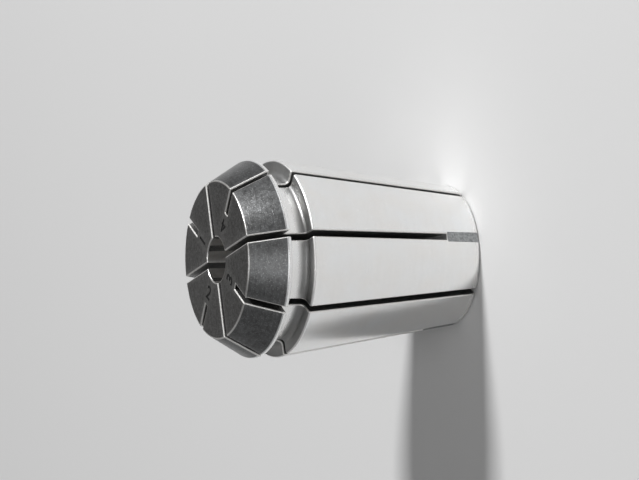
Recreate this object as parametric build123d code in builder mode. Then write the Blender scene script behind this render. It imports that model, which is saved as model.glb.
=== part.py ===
from build123d import *
import os
from math import cos, radians, sqrt, tan

# A size 25 spring collet for taps, with a round hole for the shank and a square one for its end.
#
# It is turned and ground from one piece of spring steel.  The axis is Z, the tail stands on Z = 0,
# and the nose, where the tap goes in, points up.  Four saw cuts from the nose and four from the tail,
# set between each other, leave eight jaws in one winding spring.  They close on the tap when the nut
# presses the taper into its holder.  Lengths are in millimetres, angles in degrees.

# Outside, from the nose to the tail
overall_length = 34.0
nose_length = 5.0  # from the nose face to the groove
nose_angle = 30.0  # between the nose cone and the axis
nose_edge = 0.15  # chamfer between the nose face and the nose cone
rim_diameter = 25.9  # large end of the nose cone
rim_land = 0.4  # straight band between the nose cone and the groove
groove_width = 3.1  # room for the ring of the nut that pulls the collet out
groove_diameter = 22.0
groove_fillet = 0.6  # in the corner next to the taper
taper_diameter = 26.0  # large end of the seating taper, before its edge is broken
taper_angle = 8.0  # between the seating taper and the axis
taper_edge = 0.25  # chamfer at the large end of the seating taper
tail_fillet = 0.5  # at the small end of the seating taper

# Hole, from the nose to the tail
shank_diameter = 6.0
shank_depth = 18.0
square_size = 4.9  # across the flats
square_length = 9.0
tail_bore_diameter = 7.6
hole_edge = 0.25  # chamfer at both ends of the hole

# Saw cuts
slot_count = 4  # from the nose, and as many again from the tail
slot_width = 0.8
slot_edge = 0.28  # chamfer round the mouth of each slot
saw_diameter = 40.0
saw_overcut = 0.5  # how much deeper the saw goes than the wall of the shank hole
nose_slot_end = 5.0  # height above the tail at which a nose slot ends on the taper
tail_slot_end = 6.9  # radius at which a tail slot comes out of the nose face
flat_depth = 0.1  # of the shallow flat between the end of a nose slot and the tail

# Cutters
cutter_air = 3.0  # how far they reach beyond the blank

# Heights above the tail
groove_top = overall_length - nose_length
groove_bottom = groove_top - groove_width
square_top = overall_length - shank_depth
square_bottom = square_top - square_length

# Saw
saw_radius = saw_diameter / 2
saw_axis_radius = shank_diameter / 2 - saw_overcut + saw_radius
saw_travel = overall_length + saw_diameter


def taper_radius(height):
    """Radius of the seating taper at a height above the tail."""
    return taper_diameter / 2 - (groove_bottom - height) * tan(radians(taper_angle))


# Half of the blank's section with sharp edges, on the +X side of the axis
nose_face_radius = rim_diameter / 2 - (nose_length - rim_land) * tan(radians(nose_angle))
with BuildSketch(Plane.XZ) as blank_section:
    with BuildLine():
        Polyline(
            (0, 0),
            (taper_radius(0), 0),
            (taper_diameter / 2, groove_bottom),
            (groove_diameter / 2, groove_bottom),
            (groove_diameter / 2, groove_top),
            (rim_diameter / 2, groove_top),
            (rim_diameter / 2, groove_top + rim_land),
            (nose_face_radius, overall_length),
            (0, overall_length),
            close=True,
        )
    make_face()
    groove_corner = blank_section.vertices().sort_by_distance((groove_diameter / 2, groove_bottom))[0]
    fillet(groove_corner, groove_fillet)

# The same section through a tail flat
flat_inset = flat_depth / cos(radians(taper_angle))
flat_end = (taper_radius(nose_slot_end) - flat_inset, nose_slot_end)
with BuildSketch(Plane.XZ) as flat_section:
    add(blank_section.sketch_local)
    with BuildLine():
        Polyline(
            (taper_radius(0) - flat_inset, 0),
            flat_end,
            (taper_diameter / 2, nose_slot_end),
            (taper_diameter / 2, 0),
            close=True,
        )
    make_face(mode=Mode.SUBTRACT)

# The +X side of the axis, with a little air round the blank
side_width = taper_diameter / 2 + cutter_air
side_length = overall_length + 2 * cutter_air
with BuildSketch(Plane.XZ) as plus_x_side:
    with Locations((0, -cutter_air)):
        Rectangle(side_width, side_length, align=Align.MIN)


def slot_cutter(section, run_out, way):
    """What a saw cut and its deburring take away, on the +X side of the axis.

    The section is the one that the saw goes through, the run-out is the point of its outline where
    the slot ends, and the way is 1 for a slot that is open at the nose, -1 at the tail.
    """
    radius, height = run_out
    saw_stop = height + way * sqrt(saw_radius**2 - (saw_axis_radius - radius) ** 2)
    with BuildSketch(Plane.XZ) as saw_path:
        with Locations((saw_axis_radius, saw_stop + way * saw_travel / 2)):
            SlotCenterToCenter(saw_travel, saw_diameter, rotation=90)
    with BuildSketch(Plane.XZ) as web:
        add(section.sketch_local)
        add(saw_path.sketch_local, mode=Mode.SUBTRACT)
        chamfer(web.vertices().sort_by_distance(run_out)[0], slot_edge)
    with BuildPart() as deburring:
        with BuildSketch(Plane.XZ):
            add(saw_path.sketch_local)
            offset(amount=slot_edge)
            add(plus_x_side.sketch_local, mode=Mode.INTERSECT)
            offset(blank_section.sketch_local, -slot_edge, kind=Kind.INTERSECTION, mode=Mode.SUBTRACT)
        extrude(amount=slot_width / 2 + slot_edge)
        chamfer(deburring.faces().sort_by(Axis.Y)[0].edges(), slot_edge)
        split(bisect_by=Plane.XZ.offset(slot_width / 2))
    with BuildPart() as cutter:
        with BuildSketch(Plane.XZ):
            add(plus_x_side.sketch_local)
            add(web.sketch_local, mode=Mode.SUBTRACT)
        extrude(amount=slot_width / 2)
        add(deburring.part)
        mirror(about=Plane.XZ)
    return cutter.part


# Nose slots lie over the flats of the square hole, tail slots over its corners
nose_slot = slot_cutter(flat_section, flat_end, way=1)
tail_slot = slot_cutter(blank_section, (tail_slot_end, overall_length), way=-1)

with BuildPart() as tail_flat:
    with BuildSketch(Plane.XZ):
        add(blank_section.sketch_local)
        add(flat_section.sketch_local, mode=Mode.SUBTRACT)
    extrude(amount=slot_width / 2 + slot_edge, both=True)

with BuildPart() as collet:
    add(blank_section.sketch)
    revolve(axis=Axis.Z)
    rims = collet.edges().filter_by(GeomType.CIRCLE)
    fillet(rims.group_by(Axis.Z)[0], tail_fillet)
    chamfer(rims.group_by(Axis.Z)[-1], nose_edge)
    chamfer(rims.sort_by(SortBy.RADIUS)[-1], taper_edge)
    with Locations((0, 0, overall_length)):
        Hole(shank_diameter / 2, depth=shank_depth)
    with BuildSketch(Plane.XY.offset(square_bottom)):
        Rectangle(square_size, square_size)
    extrude(amount=square_length, mode=Mode.SUBTRACT)
    with BuildSketch(Plane.XY):
        Circle(tail_bore_diameter / 2)
    extrude(amount=square_bottom, mode=Mode.SUBTRACT)
    for end in (0, -1):
        end_rims = collet.edges().filter_by(GeomType.CIRCLE).group_by(Axis.Z)[end]
        chamfer(end_rims.sort_by(SortBy.RADIUS)[0], hole_edge)
    with PolarLocations(0, slot_count):
        add(tail_flat.part, mode=Mode.SUBTRACT)
        add(nose_slot, mode=Mode.SUBTRACT)
    with PolarLocations(0, slot_count, start_angle=180 / slot_count):
        add(tail_slot, mode=Mode.SUBTRACT)

collet.part.label = "collet"
os.makedirs("parts", exist_ok=True)
export_step(collet.part, "parts/collet.step")
print("collet", round(collet.part.volume, 1), "mm3,", len(collet.part.solids()), "solid")
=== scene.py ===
# %% [markdown]
# # A spring collet for taps
#
# A collet is a slit steel sleeve.  A nut pushes its long taper into a holder, the slots close by a
# few tenths of a millimetre, and the jaws between them grip the tool.  This one is turned and ground
# from one piece of spring steel, then sawn four times from the nose and four times from the tail.
#
# The imported model is the fixed frame.  It says where the collet stands and how large it is, so it is
# loaded first, and its top gives the collet's length.

# %% Load the frame
from functools import cached_property
from math import cos, pi, radians, sin, sqrt, tan

import bmesh
import bpy
from mathutils import Matrix, Vector


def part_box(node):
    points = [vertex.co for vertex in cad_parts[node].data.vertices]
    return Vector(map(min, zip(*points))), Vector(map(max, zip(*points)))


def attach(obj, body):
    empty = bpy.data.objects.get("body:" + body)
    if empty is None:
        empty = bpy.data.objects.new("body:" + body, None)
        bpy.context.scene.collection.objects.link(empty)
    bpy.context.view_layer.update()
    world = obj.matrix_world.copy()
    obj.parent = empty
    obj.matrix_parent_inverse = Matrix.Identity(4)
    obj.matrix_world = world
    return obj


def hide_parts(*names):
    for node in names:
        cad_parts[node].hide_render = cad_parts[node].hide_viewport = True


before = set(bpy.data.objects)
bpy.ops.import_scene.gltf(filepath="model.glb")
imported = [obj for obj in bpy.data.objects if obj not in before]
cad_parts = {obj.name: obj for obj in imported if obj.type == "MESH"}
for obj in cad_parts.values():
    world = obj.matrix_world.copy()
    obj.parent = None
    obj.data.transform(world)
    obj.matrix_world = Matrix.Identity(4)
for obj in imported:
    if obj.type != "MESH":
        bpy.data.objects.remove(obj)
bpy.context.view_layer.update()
MM = 0.001
overall_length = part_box("collet")[1].z / MM
print("the collet is", round(overall_length, 2), "mm long")

# %% [markdown]
# ## The sizes
#
# The collet is drawn in millimetres, as its maker would, and only the finished mesh is scaled to
# metres.  These sizes are what the lathe and the grinder work to, and the places of the groove, the
# socket and the ends of the cones follow from them.  The sizes of the slots come with the saw.

# %% Sizes in millimetres
nose_length, rim_land, groove_width = 5.0, 0.4, 3.1
rim_radius, groove_radius, taper_radius = 12.95, 11.0, 13.0
nose_angle, taper_angle = radians(30), radians(8)
shank_radius, shank_depth = 3.0, 18.0
socket_size, socket_length, tail_bore_radius = 4.9, 9.0, 3.8

groove_top = overall_length - nose_length
groove_bottom = groove_top - groove_width
rim_top = groove_top + rim_land
socket_top = overall_length - shank_depth
socket_bottom = socket_top - socket_length
face_radius = rim_radius - (nose_length - rim_land) * tan(nose_angle)
tail_radius = taper_radius - groove_bottom * tan(taper_angle)
print("nose face", round(face_radius, 2), "mm and tail", round(tail_radius, 2), "mm in radius")

# %% [markdown]
# ## The section
#
# Whatever a lathe makes is one outline turned round an axis.  The outline runs from the mouth of the
# hole over the nose, down through the groove and along the taper to the tail, and then back up the
# hole.  A real edge is never perfectly sharp: a small round on each corner is what catches the light
# as a fine bright line.
#
# A Bevel modifier could round the finished piece, but it would round every edge by the same amount
# and stumble over the slots.  So each corner is written with its own radius, and one function bends
# the corners into arcs.


# %% Round the corners of an outline
def rounded(corners, closed=False, steps=7):
    """Points of an outline whose corners, (radius from the axis, height, round), become arcs."""
    points = []
    for i, (x, y, fillet) in enumerate(corners):
        corner = Vector((x, y))
        at_end = not closed and i in (0, len(corners) - 1)
        if at_end or fillet == 0:
            points.append(corner)
            continue
        before = (Vector(corners[i - 1][:2]) - corner).normalized()
        after = (Vector(corners[(i + 1) % len(corners)][:2]) - corner).normalized()
        half = before.angle(after) / 2
        centre = corner + (before + after).normalized() * fillet / sin(half)
        start = corner + before * fillet / tan(half) - centre
        end = corner + after * fillet / tan(half) - centre
        turn = start.angle_signed(end)
        for k in range(steps + 1):
            points.append(centre + Matrix.Rotation(-turn * k / steps, 2) @ start)
    return points


trial = rounded([(0, 0, 0.1), (1, 0, 0.1), (1, 1, 0)], closed=True)
print("a triangle with two round corners has", len(trial), "points")

# %% The outline of the blank
outside = [
    (shank_radius, overall_length, 0.2),
    (face_radius, overall_length, 0.18),
    (rim_radius, rim_top, 0.15),
    (rim_radius, groove_top, 0.1),
    (groove_radius, groove_top, 0.2),
    (groove_radius, groove_bottom, 0.6),
    (taper_radius, groove_bottom, 0.3),
    (tail_radius, 0, 0.5),
    (tail_bore_radius, 0, 0.25),
]
broach_allowance = 0.1
pilot_radius = socket_size / 2 - broach_allowance
inside = [
    (tail_bore_radius, socket_bottom, 0.2),
    (pilot_radius, socket_bottom, 0),
    (pilot_radius, socket_top, 0),
    (shank_radius, socket_top, 0.1),
]
section = rounded(outside + inside, closed=True)
print("the section has", len(section), "points")


# %% An object that holds the section
def mesh_object(name, points, faces, edges=()):
    """A new object from plain lists, linked to the scene."""
    mesh = bpy.data.meshes.new(name)
    mesh.from_pydata([tuple(p) for p in points], edges, faces)
    return linked(name, mesh)


def linked(name, data):
    """A new object around a mesh, a curve, a lamp or a camera, linked to the scene."""
    made = bpy.data.objects.new(name, data)
    bpy.context.scene.collection.objects.link(made)
    return made


loop = [(i, (i + 1) % len(section)) for i in range(len(section))]
body = mesh_object("collet_body", [(p.x, p.y, 0) for p in section], [], loop)
print("the outline has", len(body.data.edges), "edges")

# %% [markdown]
# ## The square
#
# The hole ends in a square, which keeps the tap from turning.  On the real collet it is broached:
# a square bar with teeth is pushed through a round pilot hole.  Every cut in this script is made in
# the same way, by a solid that is taken away from the blank, and the broach is the simplest one.
#
# A cutter has to be a closed mesh, and all but the numbers can be drawn as a row of rings with
# equally many points.  One function joins the rings and caps the ends.


# %% A solid from rings, and the broach
def solid(name, rings):
    """A closed mesh from equally long rings of points, capped at both ends."""
    width = len(rings[0])
    points = [p for ring in rings for p in ring]
    faces = [list(range(width)), list(range(len(points) - width, len(points)))]
    for start in range(0, len(points) - width, width):
        for k in range(width):
            a, b = start + k, start + (k + 1) % width
            faces.append([a, b, b + width, a + width])
    made = mesh_object(name, points, faces)
    work = bmesh.new()
    work.from_mesh(made.data)
    bmesh.ops.recalc_face_normals(work, faces=work.faces)
    work.to_mesh(made.data)
    work.free()
    return made


clearance = 0.5  # how far a cutter reaches out of the metal
half = socket_size / 2
bar = [(-half, -half), (half, -half), (half, half), (-half, half)]
broach_ends = (socket_bottom - clearance, socket_top)
cutters = {"square": solid("square", [[(x, y, z) for x, y in bar] for z in broach_ends])}
print("the broach has", len(cutters["square"].data.polygons), "faces")

# %% [markdown]
# ## The saw
#
# A slitting saw leaves a slot with flat walls and a floor that curves out at its end with the radius
# of the saw.  A plain box would leave a square end.  So the cutter is the path of the disc: a half
# circle drawn out into a plate as thick as the blade.
#
# The saw runs a little past the wall of the hole, so that the jaws come free.  The place where a slot
# ends on the outside is what a drawing gives: a height on the taper for the slots from the nose, and
# a radius on the nose face for those from the tail.  Where the saw's centre has to stop for that
# follows from the circle.

# %% The two saw cuts
slot_width, saw_radius, saw_overcut = 0.8, 20.0, 0.5
nose_slot_end, tail_slot_end = 5.0, 6.9
saw_centre = shank_radius - saw_overcut + saw_radius
half_slot = slot_width / 2


def saw_reach(radius):
    """How far from the saw's centre, along the axis, the disc comes out at a radius."""
    return sqrt(saw_radius**2 - (saw_centre - radius) ** 2)


def on_taper(height):
    """The point of the long taper at a height above the tail."""
    return Vector((tail_radius + height * tan(taper_angle), height))


def plate(name, path, half_width):
    """A solid as wide as a cut whose side view is the path, in the section plane."""
    return solid(name, [[(x, side * half_width, z) for x, z in path] for side in (-1, 1)])


def saw_blade(name, stop, way, steps=96):
    """The plate that the saw sweeps on its way in, up to where its centre stops."""
    turns = [pi * k / steps for k in range(steps + 1)]
    path = [(saw_centre - saw_radius * cos(a), stop - way * saw_radius * sin(a)) for a in turns]
    outside_blank = stop + way * 3 * saw_radius
    path += [(saw_centre + saw_radius, outside_blank), (saw_centre - saw_radius, outside_blank)]
    return plate(name, path, half_slot)


nose_end, tail_end = on_taper(nose_slot_end), Vector((tail_slot_end, overall_length))
nose_stop = nose_slot_end + saw_reach(nose_end.x)
tail_stop = overall_length - saw_reach(tail_slot_end)
cutters["nose_blade"] = saw_blade("nose_blade", nose_stop, 1)
cutters["tail_blade"] = saw_blade("tail_blade", tail_stop, -1)
print("the saw's centre stops", round(nose_stop, 2), "and", round(tail_stop, 2), "mm above the tail")

# %% [markdown]
# ## The deburring tool
#
# A saw leaves burrs, and a slot's edges are rounded by hand after it.  That tool is modelled too,
# because these thin bright lines are what the eye follows on a collet.  Its profile is a small
# quarter round, and it travels along the slot's mouth, which means along the outline of the blank:
# down one side, across the end, and back up the other side.
#
# At every corner of the outline the tool leans along the bisector, so the round stays equally wide on
# the cones, in the groove and over the rims.  The blank is round, so a point beside the middle of
# the slot lies a little lower, and the tool follows that as well.
#
# A Boolean stumbles where two faces lie exactly on each other.  So the tool reaches a little into
# the open slot, and its round ends a hair above the surface and flares on from there.


# %% The path round a slot's mouth
edge_round = 0.19
into_slot, lift, flare = 0.08, 0.003, 0.03


def deburring_profile(steps=7):
    """The tool's section, as (way out from the slot's wall, height over the surface)."""
    profile = [(-into_slot, clearance), (-into_slot, -edge_round)]
    for k in range(steps + 1):
        a = pi / 2 * k / steps
        height = -edge_round * (1 - sin(a)) + lift * k / steps
        profile.append((edge_round * (1 - cos(a)), height))
    return profile + [(edge_round + flare, clearance)]


def deburring(name, mouth, wall, side):
    """The quarter round that travels round a slot's mouth, with the air above it.

    The wall is the way that the slot's floor takes into the metal at the end of the mouth, and the
    side is 1 where the metal is on the right of the mouth, -1 where it is on the left.
    """
    profile = deburring_profile()
    rings = []
    for i, point in enumerate(mouth[:-1]):
        after = (mouth[i + 1] - point).normalized()
        before = (point - mouth[i - 1]).normalized() if i else after
        along = (before + after).normalized()
        lean = Vector((-along.y, along.x)) * side / along.dot(after)
        rings.append([(point + lean * height, half_slot + out) for out, height in profile])
    tip = mouth[-1]
    rings.append([(tip + after * out - wall * height, half_slot + out) for out, height in profile])
    rings = [[(sqrt(p.x**2 - t**2), t, p.y) for p, t in ring] for ring in rings]
    return solid(name, rings + [[(x, -t, z) for x, t, z in ring] for ring in reversed(rings)])


print("the deburring tool's section has", len(deburring_profile()), "points")


# %% Deburr the slots
def floor_way(radius, way):
    """The way into the metal of a slot's floor, where it comes out at a radius."""
    return Vector((-saw_reach(radius), way * (saw_centre - radius))) / saw_radius


# The tool follows the large rounds of the outline and takes the small ones as sharp corners.
large_round, into_hole = 0.3, 0.4
outline = rounded([(x, z, r if r >= large_round else 0) for x, z, r in outside])
nose_part = [p for p in outline[1:] if p.y > overall_length / 2]
nose_mouth = [Vector((shank_radius - into_hole, overall_length)), *nose_part, nose_end]
tail_mouth = [Vector((tail_bore_radius - into_hole, 0)), *outline[-2:0:-1], tail_end]
for end, mouth, wall, side in (
    ("nose", nose_mouth, floor_way(nose_end.x, 1), 1),
    ("tail", tail_mouth, floor_way(tail_slot_end, -1), -1),
):
    cutters[end + "_deburring"] = deburring(end + "_deburring", mouth, wall, side)
    print("the mouth of a slot from the", end, "has", len(mouth), "points")

# %% [markdown]
# ## The flats
#
# Between the end of a nose slot and the tail the taper is relieved by a shallow flat, so that the
# end of the slot never touches the holder.  An end mill cuts it parallel to the taper.  Its cutter is
# a plate again, a little wider than the slot.

# %% The flat behind a nose slot
flat_depth, flat_margin, flat_overlap, below_tail = 0.1, 0.26, 0.02, -1
inwards = Vector((cos(taper_angle), -sin(taper_angle))) * flat_depth
flat_low, flat_high = (on_taper(h) - inwards for h in (below_tail, nose_slot_end + flat_overlap))
flat_path = [flat_low, flat_high, (taper_radius, flat_high.y), (taper_radius, below_tail)]
cutters["flat"] = plate("flat", flat_path, half_slot + flat_margin)
print("a flat is", round(2 * (half_slot + flat_margin), 2), "mm wide")

# %% [markdown]
# ## The numbers
#
# Four plain numbers are engraved on the nose face, one in each quarter, between the hole and the end
# of a slot from the tail.  A picture of a number would need a flat map of the face, and it would
# blur close by.  Text is a curve in Blender, so it is made a thin solid, put in its place, and taken
# out of the steel as any other cutter is.


# %% Numbers
def plain_mesh(made):
    """What an object looks like after its modifiers, as a mesh of its own."""
    seen = made.evaluated_get(bpy.context.evaluated_depsgraph_get())
    return bpy.data.meshes.new_from_object(seen)


def numeral(text, size, weight, half_height):
    """A numeral as a low solid, centred on the origin."""
    curve = bpy.data.curves.new("numeral", "FONT")
    curve.body, curve.size, curve.offset, curve.extrude = text, size, weight, half_height
    curve.align_x, curve.align_y, curve.resolution_u = "CENTER", "CENTER", 4
    made = linked("numeral", curve)
    mesh = plain_mesh(made)
    bpy.data.objects.remove(made)
    return mesh


def joined(name, meshes):
    """One object from several meshes that are already in place."""
    work = bmesh.new()
    for mesh in meshes:
        work.from_mesh(mesh)
    bmesh.ops.remove_doubles(work, verts=work.verts, dist=1e-5)
    bmesh.ops.recalc_face_normals(work, faces=work.faces)
    mesh = bpy.data.meshes.new(name)
    work.to_mesh(mesh)
    work.free()
    return linked(name, mesh)


numeral_size, numeral_weight, numeral_radius, first_turn = 2.6, 0.06, 5.1, 135
engraved_depth, numeral_half_height = 0.05, 0.5
numerals = []
for i in range(4):
    mesh = numeral(str(i + 1), numeral_size, numeral_weight, numeral_half_height)
    middle = overall_length + (numeral_half_height - engraved_depth)
    mesh.transform(Matrix.Translation((0, -numeral_radius, middle)))
    mesh.transform(Matrix.Rotation(radians(first_turn + 90 * i), 4, "Z"))
    numerals.append(mesh)
cutters["numbers"] = joined("numbers", numerals)
print("the numbers have", len(cutters["numbers"].data.polygons), "faces")

# %% [markdown]
# ## A bench for nodes
#
# Both the shape and the finishes are node trees.  Written out one by one they would fill pages, so
# two small classes do the wiring.  A Wire is a socket that can be added, multiplied and compared in
# a normal expression.  A Bench makes a node from its type, its settings and what goes into it.


# %% Wires and benches
class Wire:
    """A socket that takes part in expressions, each of which adds a Math node."""

    def __init__(self, bench, socket):
        self.bench, self.socket = bench, socket

    def maths(self, operation, *values):
        return self.bench.node("ShaderNodeMath", {"operation": operation}, dict(enumerate(values)))

    def __add__(self, other):
        return self.maths("ADD", self, other)

    def __sub__(self, other):
        return self.maths("SUBTRACT", self, other)

    def __rsub__(self, other):
        return self.maths("SUBTRACT", other, self)

    def __mul__(self, other):
        return self.maths("MULTIPLY", self, other)

    def __truediv__(self, other):
        return self.maths("DIVIDE", self, other)

    def __rtruediv__(self, other):
        return self.maths("DIVIDE", other, self)

    def __pow__(self, other):
        return self.maths("POWER", self, other)

    def __gt__(self, other):
        return self.maths("GREATER_THAN", self, other)

    def __lt__(self, other):
        return self.maths("LESS_THAN", self, other)

    __radd__, __rmul__ = __add__, __mul__


class Bench:
    """Makes and wires nodes in one tree."""

    def __init__(self, tree):
        self.tree = tree

    def make(self, kind, settings=None, inputs=None):
        """A node of a kind, with its settings made first and its sockets filled after."""
        node = self.tree.nodes.new(kind)
        for name, value in (settings or {}).items():
            setattr(node, name, value)
        for key, value in (inputs or {}).items():
            for each in value if isinstance(value, list) else [value]:
                if isinstance(each, Wire):
                    self.tree.links.new(each.socket, node.inputs[key])
                else:
                    node.inputs[key].default_value = each
        return node

    def node(self, kind, settings=None, inputs=None, output=0):
        """The same, returning one output as a wire."""
        return Wire(self, self.make(kind, settings, inputs).outputs[output])


trial = Bench(bpy.data.node_groups.new("trial", "ShaderNodeTree"))
dimmed = 1 - trial.node("ShaderNodeValue") * 0.5
print("1 - value * 0.5 is", len(trial.tree.nodes), "nodes, the last a", dimmed.socket.node.operation)
bpy.data.node_groups.remove(trial.tree)

# %% [markdown]
# ## The names of the finishes
#
# Every cut leaves its own surface.  Painting them on by hand would have to be done again after every
# change of a size.  Instead each cutter carries the finish that it leaves, and the cut takes it over.
# The materials are made empty here and filled in once the shape is done.

# %% Materials by the cut that makes them
finish_names = ["ground_steel", "tumbled_steel", "sawn_steel", "deburred_steel"]
finish_names += ["milled_flat", "bored_steel", "engraved"]
finishes = {name: bpy.data.materials.new(name) for name in finish_names}
left_by = {
    "nose_blade": "sawn_steel",
    "tail_blade": "sawn_steel",
    "nose_deburring": "deburred_steel",
    "tail_deburring": "deburred_steel",
    "flat": "milled_flat",
    "square": "bored_steel",
    "numbers": "engraved",
}
for name, finish in left_by.items():
    cutters[name].data.materials.append(finishes[finish])
print(len(cutters), "cutters carry", len(set(left_by.values())), "finishes")

# %% [markdown]
# ## Turning the blank
#
# The first tree is the lathe.  Curve to Mesh carries the section round a circle.  The circle needs a
# radius of its own, so the section is moved in by as much.  It is also turned over, because Curve to
# Mesh sets it head down.
#
# Only the number of steps round the circle is a matter of taste: at 360 each facet is a quarter of a
# millimetre wide and turns by one degree, which smooth shading hides.


# %% The lathe tree
def shape_tree(name, inputs):
    """A new Geometry Nodes tree with named inputs: its bench, and a wire for each input."""
    tree = bpy.data.node_groups.new(name, "GeometryNodeTree")
    tree.interface.new_socket("Geometry", in_out="OUTPUT", socket_type="NodeSocketGeometry")
    for label, kind in {"Geometry": "Geometry", **inputs}.items():
        tree.interface.new_socket(label, in_out="INPUT", socket_type="NodeSocket" + kind)
    bench = Bench(tree)
    source = bench.make("NodeGroupInput")
    return bench, {socket.name: Wire(bench, socket) for socket in source.outputs if socket.name}


turning, given = shape_tree("turning", {"Steps": "Int", "Turned Finish": "Material"})
lathe_radius = 1.0
circle = turning.node(
    "GeometryNodeCurvePrimitiveCircle",
    {"mode": "RADIUS"},
    {"Resolution": given["Steps"], "Radius": lathe_radius},
)
upright = turning.node("GeometryNodeSetCurveNormal", {"mode": "Z_UP"}, {"Curve": circle})
profile = turning.node("GeometryNodeMeshToCurve", {}, {0: given["Geometry"]})
centred = turning.node(
    "GeometryNodeTransform",
    {},
    {"Geometry": profile, "Translation": (-lathe_radius, 0, 0), "Scale": (1, -1, 1)},
)
turned = turning.node("GeometryNodeCurveToMesh", {}, {0: upright, 1: centred})
realized = turning.node("GeometryNodeRealizeInstances", {}, {0: turned})
finished = turning.node(
    "GeometryNodeSetMaterial", {}, {"Geometry": realized, "Material": given["Turned Finish"]}
)
turning.make("NodeGroupOutput", {}, {0: finished})
print("turning has", len(turning.tree.nodes), "nodes")


# %% Turn the blank
def run_tree(made, bench, values):
    """Puts a tree on an object as a modifier, with its inputs set by their identifiers."""
    modifier = made.modifiers.new(bench.tree.name, "NODES")
    modifier.node_group = bench.tree
    for item in bench.tree.interface.items_tree:
        if item.in_out == "INPUT" and item.name in values:
            modifier[item.identifier] = values[item.name]


steps = 360
run_tree(body, turning, {"Steps": steps, "Turned Finish": finishes["ground_steel"]})
print("a facet is", round(2 * pi * taper_radius / steps, 2), "mm wide on the taper")

# %% [markdown]
# ## Sawing the slots
#
# The second tree is the dividing head.  It sets each cutter at equal angles round the axis and takes
# it away from the blank.  Changing one number would make a collet with six or eight slots an end.
#
# The cuts follow the order of the workshop in three Booleans: the flats, the square and the numbers
# first, then the saw, and the deburring last, because it follows the edges that the saw left.

# %% The dividing head
tools = {name.replace("_", " ").title(): cutter for name, cutter in cutters.items()}
zones = ("Nose Finish", "Bore Finish")
sawing, given = shape_tree(
    "sawing",
    {
        **{label: "Object" for label in tools},
        **{label: "Material" for label in ("Turned Finish", *zones)},
        **{label: "Float" for label in ("Weld Distance", "Smooth Angle", "Nose Height", "Bore Radius")},
        "Slots": "Int",
    },
)


def tool(label):
    """The mesh of a cutter."""
    return sawing.node("GeometryNodeObjectInfo", {}, {"Object": given[label]}, "Geometry")


def round_the_axis(label, share):
    """A cutter's mesh at equal angles, the first one turned by a share of the pitch."""
    shape = tool(label)
    places = sawing.node("GeometryNodePoints", {}, {"Count": given["Slots"]})
    pitch = 2 * pi / given["Slots"]
    angle = (sawing.node("GeometryNodeInputIndex") + share) * pitch
    turn = sawing.node("ShaderNodeCombineXYZ", {}, {"Z": angle})
    placed = sawing.node(
        "GeometryNodeInstanceOnPoints", {}, {"Points": places, "Instance": shape, "Rotation": turn}
    )
    return sawing.node("GeometryNodeRealizeInstances", {}, {0: placed})


print("the tools are", ", ".join(tools))


# %% The cuts
def difference(metal, *cuts):
    """The metal without what the cuts take away."""
    return sawing.node(
        "GeometryNodeMeshBoolean",
        {"operation": "DIFFERENCE", "solver": "MANIFOLD"},
        {"Mesh 1": metal, "Mesh 2": list(cuts)},
    )


at_nose, at_tail = 0, 0.5
metal = difference(given["Geometry"], round_the_axis("Flat", at_nose), tool("Square"), tool("Numbers"))
for kind in ("Blade", "Deburring"):
    from_nose = round_the_axis("Nose " + kind, at_nose)
    metal = difference(metal, from_nose, round_the_axis("Tail " + kind, at_tail))
print("sawing has", len(sawing.tree.nodes), "nodes so far")

# %% [markdown]
# ## Cleaning the mesh
#
# Where two cuts meet, a Boolean leaves points less than a micrometre apart and faces with dozens of
# corners, and a program that reads such a mesh finds holes in it.  So the points are welded and the
# faces split into triangles.
#
# Then the facets are shaded smooth wherever they turn by less than a few degrees.  That hides the
# facets of the blank and of the curved slot floors, and keeps every edge crisp.  The steps of the
# small rounds turn by more, but they are too narrow to be seen one by one.

# %% Weld, split and shade
metal = sawing.node(
    "GeometryNodeMergeByDistance", {}, {"Geometry": metal, "Distance": given["Weld Distance"]}
)
metal = sawing.node("GeometryNodeTriangulate", {"ngon_method": "BEAUTY"}, {"Mesh": metal})
bend = sawing.node("GeometryNodeInputMeshEdgeAngle")
is_smooth = bend < given["Smooth Angle"]
metal = sawing.node("GeometryNodeSetShadeSmooth", {"domain": "EDGE"}, {0: metal, 2: is_smooth})
print("sawing has", len(sawing.tree.nodes), "nodes so far")

# %% [markdown]
# ## Two more turned finishes
#
# The cutters brought their finishes along, and all that is left is what the lathe turned.  Of that,
# the nose is tumbled, the inside is only bored, and the taper and the groove stay ground.  The zones
# are picked out by height and by radius.

# %% The end of the sawing tree
metal = sawing.node("GeometryNodeRealizeInstances", {}, {0: metal})
place = sawing.node("GeometryNodeInputPosition")
split = sawing.make("ShaderNodeSeparateXYZ", {}, {0: place})
x, y, z = (Wire(sawing, socket) for socket in split.outputs)
is_turned = sawing.node("GeometryNodeMaterialSelection", {}, {0: given["Turned Finish"]})
in_zone = (z > given["Nose Height"], (x * x + y * y) ** 0.5 < given["Bore Radius"])
for label, inside_zone in zip(zones, in_zone):
    metal = sawing.node(
        "GeometryNodeSetMaterial",
        {},
        {"Geometry": metal, "Selection": is_turned * inside_zone, "Material": given[label]},
    )
sawing.make("NodeGroupOutput", {}, {0: metal})
slots_an_end, past_edge = 4, 0.05
run_tree(body, sawing, {
    **tools,
    "Slots": slots_an_end,
    "Weld Distance": 0.001,
    "Smooth Angle": radians(4.5),
    "Nose Height": rim_top + past_edge,
    "Bore Radius": tail_bore_radius + past_edge,
    "Turned Finish": finishes["ground_steel"],
    "Nose Finish": finishes["tumbled_steel"],
    "Bore Finish": finishes["bored_steel"],
})
print("sawing has", len(sawing.tree.nodes), "nodes")
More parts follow.
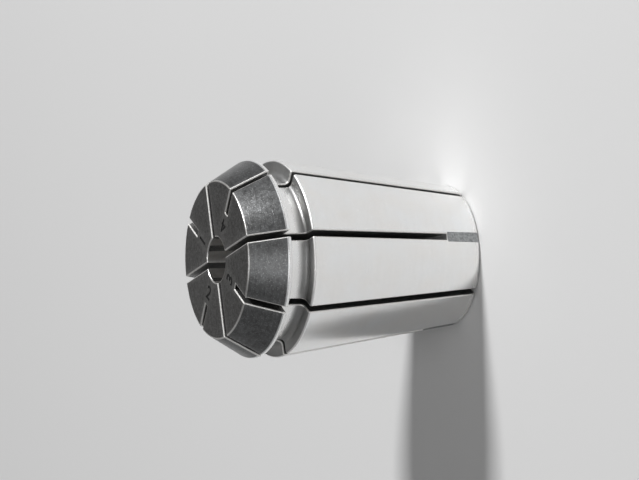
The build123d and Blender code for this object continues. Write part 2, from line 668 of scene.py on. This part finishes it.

# %% [markdown]
# ## The finished piece
#
# The real collet is one piece of steel, so it becomes one plain mesh.  The trees and the cutters have
# done their work and are put away.  The mesh is scaled to metres, and the last lines say what it
# rides on and which solid it takes the place of.

# %% Make the collet a plain mesh
bpy.context.view_layer.update()
made = plain_mesh(body)
made.transform(Matrix.Scale(MM, 4))
body.modifiers.clear()
for used in (body, *cutters.values()):
    bpy.data.objects.remove(used)
collet = linked("sawn_collet", made)
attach(collet, "root")
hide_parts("collet")
made.calc_loop_triangles()
print("the collet has", len(made.loop_triangles), "triangles and", len(made.materials), "finishes")

# %% [markdown]
# ## The finishes
#
# All of it is the same bare steel.  What differs is how rough each cut leaves it and how much light
# its small scratches swallow.  So each finish is a shade, a roughness, a tone between warm and cool,
# and a fine relief.
#
# Images would have to be laid round the collet, and they would stretch and show where they meet.
# Noise is worked out at every point in space instead, so its grains run on over the edges and into
# the slots, and their sizes are written in millimetres.


# %% Where a point lies
def emptied(owner):
    """The node tree of a material or a world, with its default nodes taken out."""
    owner.use_nodes = True
    owner.node_tree.nodes.clear()
    return owner.node_tree


class Finish(Bench):
    """A bench at a material, which knows where a point lies, in millimetres and radians."""

    def __init__(self, name):
        super().__init__(emptied(finishes[name]))
        self.name = name
        coords = self.node("ShaderNodeTexCoord", {}, {}, "Object")
        self.place = self.node(
            "ShaderNodeVectorMath", {"operation": "SCALE"}, {0: coords, "Scale": 1 / MM}
        )
        split = self.make("ShaderNodeSeparateXYZ", {}, {0: self.place})
        self.x, self.y, self.z = (Wire(self, socket) for socket in split.outputs)

    @cached_property
    def radius(self):
        """How far out from the axis."""
        return (self.x * self.x + self.y * self.y) ** 0.5

    @cached_property
    def angle(self):
        """How far round the axis."""
        return self.x.maths("ARCTAN2", self.y, self.x)

    def grain(self, size, detail=2.0, vector=None):
        """Noise of about 0 to 1 whose grains are a size in millimetres."""
        return self.node(
            "ShaderNodeTexNoise",
            {},
            {"Vector": vector or self.place, "Scale": 1 / size, "Detail": detail, "Roughness": 0.6},
        )

    def lines(self, across, along, size, detail=2.0):
        """Noise that is drawn out along one way, as a tool leaves it."""
        vector = self.node("ShaderNodeCombineXYZ", {}, {0: across, 1: along, 2: 0.0})
        return self.grain(size, detail, vector)

    def close(self, shade, roughness, tone, height, depth):
        """Wires the steel, its tone from warm at 0 to cool at 1, its relief's depth in millimetres."""
        tint = self.node(
            "ShaderNodeMix",
            {"data_type": "RGBA"},
            {"Factor": tone, 6: (1.0, 0.972, 0.935, 1), 7: (0.955, 0.98, 1.0, 1)},
            2,
        )
        colour = self.node("ShaderNodeVectorMath", {"operation": "SCALE"}, {0: tint, "Scale": shade})
        bump = self.node(
            "ShaderNodeBump", {}, {"Height": height, "Distance": depth * MM, "Strength": 1.0}
        )
        shader = self.node(
            "ShaderNodeBsdfPrincipled",
            {},
            {"Base Color": colour, "Roughness": roughness, "Normal": bump, "Metallic": 1.0},
        )
        self.make("ShaderNodeOutputMaterial", {}, {"Surface": shader})
        print(self.name, "has", len(self.tree.nodes), "nodes")


print("to be filled in:", ", ".join(finishes))

# %% [markdown]
# Three small functions are shared by the finishes.  A swing turns noise into a change to both sides
# of zero.  A ramp rises softly between two values.  And an edge that was rubbed bright is a ramp of
# the distance from a ring.


# %% Swings, ramps and rings
def swing(noise, width):
    """Noise of 0 to 1 as a swing of a width about zero."""
    return (noise - 0.5) * width


def ramp(value, start, end, low=0.0, high=1.0):
    """A value's rise from low to high between start and end, eased at both."""
    return value.bench.node(
        "ShaderNodeMapRange",
        {"interpolation_type": "SMOOTHSTEP"},
        {"Value": value, "From Min": start, "From Max": end, "To Min": low, "To Max": high},
    )


def near_ring(steel, ring_radius, ring_height, width):
    """1 on a ring-shaped edge, fading to 0 at a width from it."""
    away = ((steel.radius - ring_radius) ** 2 + (steel.z - ring_height) ** 2) ** 0.5
    return ramp(away, width * 0.35, width, 1.0, 0.0)


print("noise of 0.75 with a swing of 0.1 adds", swing(0.75, 0.1))

# %% [markdown]
# ### Ground steel
#
# The long taper has to sit in its holder within a few thousandths of a millimetre, so it is ground,
# and it comes out almost like a mirror.  The wheel leaves very fine lines round the axis.  Noise
# that is read at a height and an angle, with the angle made small, is drawn out into such rings.
# The angle jumps at half a turn, and what that would show falls into a slot.
#
# The wheel doesn't get into the groove's lower corner, which is left rougher, and its colour there is
# darkened as painted shade.  The edges are a little duller than the faces between them.

# %% Ground steel
steel = Finish("ground_steel")
fine_lines = steel.lines(steel.z, steel.angle * 1.5, 0.1, 3.0)
wide_lines = steel.lines(steel.z, steel.angle * 0.6, 0.5)
mottle, clouds = steel.grain(0.4, 4.0), steel.grain(3.5)
# painted shade: the colour darkens in the groove's lower corner, which is also made rougher
painted_shade_fade = ramp(steel.z, groove_bottom + 1.7, groove_bottom + 0.3)
corner = painted_shade_fade * ramp(steel.z, groove_bottom - 0.1, groove_bottom)
edge = near_ring(steel, taper_radius, groove_bottom, 0.4)
edge = edge + near_ring(steel, rim_radius, groove_top, 0.25) + near_ring(steel, tail_radius, 0.0, 0.7)
shade = 0.96 + swing(fine_lines, 0.1) + swing(wide_lines, 0.06) + swing(clouds, 0.06)
# the groove's lower corner is darkened by 0.6 as painted shade
shade = shade + swing(mottle, 0.1) - corner * 0.6
roughness = 0.23 + swing(fine_lines, 0.12) + swing(mottle, 0.14) + edge * 0.22 + corner * 0.2
steel.close(shade, roughness, clouds, fine_lines + mottle * 0.5, 0.0008)

# %% [markdown]
# ### Tumbled steel
#
# The nose is only pressed on by the nut, so it isn't ground.  It keeps the dark skin of the furnace,
# which tumbling in small stones leaves satin and mottled.  Bright grains show where the skin has
# gone, the rims are rubbed nearly bare, and the steel beside the slots a little.
#
# Each of these is a noise or a ramp of its own, added to one dark shade.  The flat face is a little
# warmer and more mottled than the cone.


# %% Tumbled steel
def beside_slots(steel):
    """How far a point lies from the middle of the nearest slot of either end, in millimetres."""
    wave = steel.radius.maths("SINE", steel.angle * slots_an_end)
    return steel.radius * steel.radius.maths("ABSOLUTE", wave) / slots_an_end


steel = Finish("tumbled_steel")
mottle, clouds = steel.grain(0.5, 4.0), steel.grain(2.4)
sparks = ramp(steel.grain(0.14, 1.0), 0.54, 0.72)
rings = steel.lines(steel.radius, steel.angle * 0.8, 0.16)
edge = near_ring(steel, face_radius, overall_length, 0.2)
edge = edge + near_ring(steel, rim_radius, rim_top, 0.24)
edge = edge + near_ring(steel, shank_radius, overall_length, 0.24)
handled = ramp(beside_slots(steel), 0.6, 1.3, 1.0, 0.0)
on_face = ramp(steel.z, overall_length - 0.25, overall_length - 0.02)
shade = 0.15 + swing(mottle, 0.16 + on_face * 0.14) + swing(clouds, 0.1) + swing(rings, 0.1)
shade = shade + sparks * 0.14 + edge * 0.7 + handled * 0.05
roughness = 0.34 + swing(mottle, 0.16) - sparks * 0.06
tone = 0.35 + clouds * 0.4 + mottle * 0.5 - on_face * 0.55
steel.close(shade, roughness, tone, mottle + sparks * 0.4 + rings * 0.3, 0.01)

# %% [markdown]
# ### Sawn steel
#
# The teeth of the saw leave arcs on the walls of a slot.  The height of the saw's centre, at the
# moment when its rim passed a point, is the same all along such an arc.  So noise of that height
# draws the marks, where straight lines would look like a file's.

# %% Sawn steel
steel = Finish("sawn_steel")
centre_height = steel.z + (saw_radius**2 - (steel.radius - saw_centre) ** 2) ** 0.5
marks = steel.lines(centre_height, steel.radius * 0.05, 0.14, 3.0)
spots = steel.grain(0.35, 3.0)
shade = 0.25 + swing(marks, 0.24) + swing(spots, 0.14)
steel.close(shade, 0.48 + swing(marks, 0.2), spots, marks, 0.004)

# %% [markdown]
# ### Deburred steel
#
# The rounded edges of the slots were brushed last, so they are bright.  A round this narrow has no
# room for a pattern, and plain uneven grains are enough.

# %% Deburred steel
steel = Finish("deburred_steel")
spots = steel.grain(0.25, 3.0)
steel.close(0.86 + swing(spots, 0.24), 0.46 + swing(spots, 0.2), spots * 0.6, spots, 0.004)

# %% [markdown]
# ### Milled flats
#
# An end mill leaves a dull grey strip, broken by coarse grains and by the marks of its feed, which
# cross the flat.  Noise of the height alone gives such marks, since it is the same all the way across.

# %% Milled flats
steel = Finish("milled_flat")
mottle, feed = steel.grain(0.3, 3.0), steel.lines(steel.z, 0.0, 0.25)
shade = 0.38 + swing(mottle, 0.7) + swing(feed, 0.16)
steel.close(shade, 0.5 + swing(mottle, 0.3), mottle * 0.5 + 0.7, mottle + feed, 0.008)

# %% [markdown]
# ### Bored steel
#
# A reamer leaves rings inside the hole, brighter than the saw's marks and rougher than grinding.  On
# the steps of the hole, height alone would give no rings, so height and radius are added.

# %% Bored steel
steel = Finish("bored_steel")
rings = steel.lines(steel.z + steel.radius, steel.angle * 0.8, 0.14, 3.0)
spots = steel.grain(0.5, 3.0)
shade = 0.86 + swing(rings, 0.2) + swing(spots, 0.14)
steel.close(shade, 0.32 + swing(rings, 0.2), spots * 0.5, rings, 0.003)

# %% [markdown]
# ### Engraved numbers
#
# The numbers are burnt in with a laser, which leaves their floor almost black and quite rough.

# %% Engraved numbers
steel = Finish("engraved")
spots = steel.grain(0.12)
steel.close(0.05 + swing(spots, 0.05), 0.65 + swing(spots, 0.2), spots, spots, 0.006)

# %% [markdown]
# ## The floor and the air
#
# Polished metal is seen by what it mirrors, so the surroundings matter as much as the finish.  The
# floor is plain and pale, and it lies a hair below the tail, because two faces at one height would
# flicker.
#
# The air is pale round about and darker overhead, as in a room whose walls are lit.  An evenly pale
# sky would wash out the satin nose, which gathers its light from a wide part of it.


# %% Floor
floor_drop, floor_half = -2e-5, 3
floor_corners = [(-1, -1), (1, -1), (1, 1), (-1, 1)]
floor = mesh_object(
    "floor", [(x * floor_half, y * floor_half, floor_drop) for x, y in floor_corners], [(0, 1, 2, 3)]
)
floor_paint = bpy.data.materials.new("floor")
bench = Bench(emptied(floor_paint))
shader = bench.node("ShaderNodeBsdfDiffuse", {}, {"Color": (0.7, 0.7, 0.7, 1)})
bench.make("ShaderNodeOutputMaterial", {}, {"Surface": shader})
floor.data.materials.append(floor_paint)
print("the floor is", 2 * floor_half, "m wide")

# %% Air
world = bpy.data.worlds.new("studio")
bpy.context.scene.world = world
bench = Bench(emptied(world))
direction = bench.node("ShaderNodeTexCoord", {}, {}, "Generated")
height = Wire(bench, bench.make("ShaderNodeSeparateXYZ", {}, {0: direction}).outputs[2])
walls = bench.node(
    "ShaderNodeMapRange",
    {},
    {"Value": height, "From Min": 0.55, "From Max": 0.9, "To Min": 0.28, "To Max": 0.04},
)
background = bench.node("ShaderNodeBackground", {}, {"Color": (1, 1, 1, 1), "Strength": walls})
bench.make("ShaderNodeOutputWorld", {}, {"Surface": background})
print("the air has", len(bench.tree.nodes), "nodes")

# %% [markdown]
# ## The lamps
#
# Three soft boxes do the work.  The key stands high on the right.  It lights the floor that most of
# the taper mirrors, and the collet's shadow falls where the left of the taper mirrors it, so the
# round body goes from bright to dark.  The fill is broad and weak and shows the cone of the nose.  A
# small lamp almost overhead is mirrored in the rounded edges, which it draws as fine lines.


# %% Lamps
collet_middle = Vector((0, 0, overall_length / 2 * MM))


def seen_from(aim, azimuth, elevation, distance):
    """The place at a distance from an aim, its azimuth counted from +X towards +Y."""
    a, e = radians(azimuth), radians(elevation)
    return aim + Vector((cos(a) * cos(e), sin(a) * cos(e), sin(e))) * distance


def facing(aim, place, roll=0.0):
    """The matrix of a lamp or a camera at a place, turned towards its aim."""
    turn = (aim - place).to_track_quat("-Z", "Y").to_matrix().to_4x4()
    return Matrix.Translation(place) @ turn @ Matrix.Rotation(radians(roll), 4, "Z")


def soft_box(name, azimuth, elevation, distance, size, watts):
    """An area lamp that stands at a distance from the collet and faces it."""
    lamp = bpy.data.lights.new(name, "AREA")
    lamp.shape, lamp.energy = "RECTANGLE", watts
    lamp.size, lamp.size_y = size
    place = seen_from(collet_middle, azimuth, elevation, distance)
    linked(name, lamp).matrix_world = facing(collet_middle, place)
    print(name, "stands", round(place.z, 2), "m high with", watts, "W")


soft_box("key", -17, 44, 0.9, (0.14, 0.14), 7.7)
soft_box("fill", -112, 34, 0.8, (0.4, 0.3), 0.62)
soft_box("edge_light", -110, 72, 0.8, (0.16, 0.16), 0.45)

# %% [markdown]
# ## The camera
#
# The collet stands on its tail, but it is best known lying down, as it would on a bench.  So the
# camera is rolled by a quarter turn, and the nose points to the left.  It stands half a metre away
# with a long lens, which keeps the far end of the taper from looking too small.

# %% Camera
camera_data = bpy.data.cameras.new("camera")
camera_data.sensor_width, camera_data.lens, camera_data.clip_start = 36, 197.596, 0.01
camera = linked("camera", camera_data)
camera_aim = Vector((2.505, 0.157, 18.678)) * MM
camera_place = seen_from(camera_aim, azimuth=-104.806, elevation=25.273, distance=464.016 * MM)
camera.matrix_world = facing(camera_aim, camera_place, roll=-90.857)
bpy.context.scene.camera = camera
bpy.context.scene.view_settings.view_transform = "Standard"
print("the camera stands", round(camera_place.z, 2), "m high")
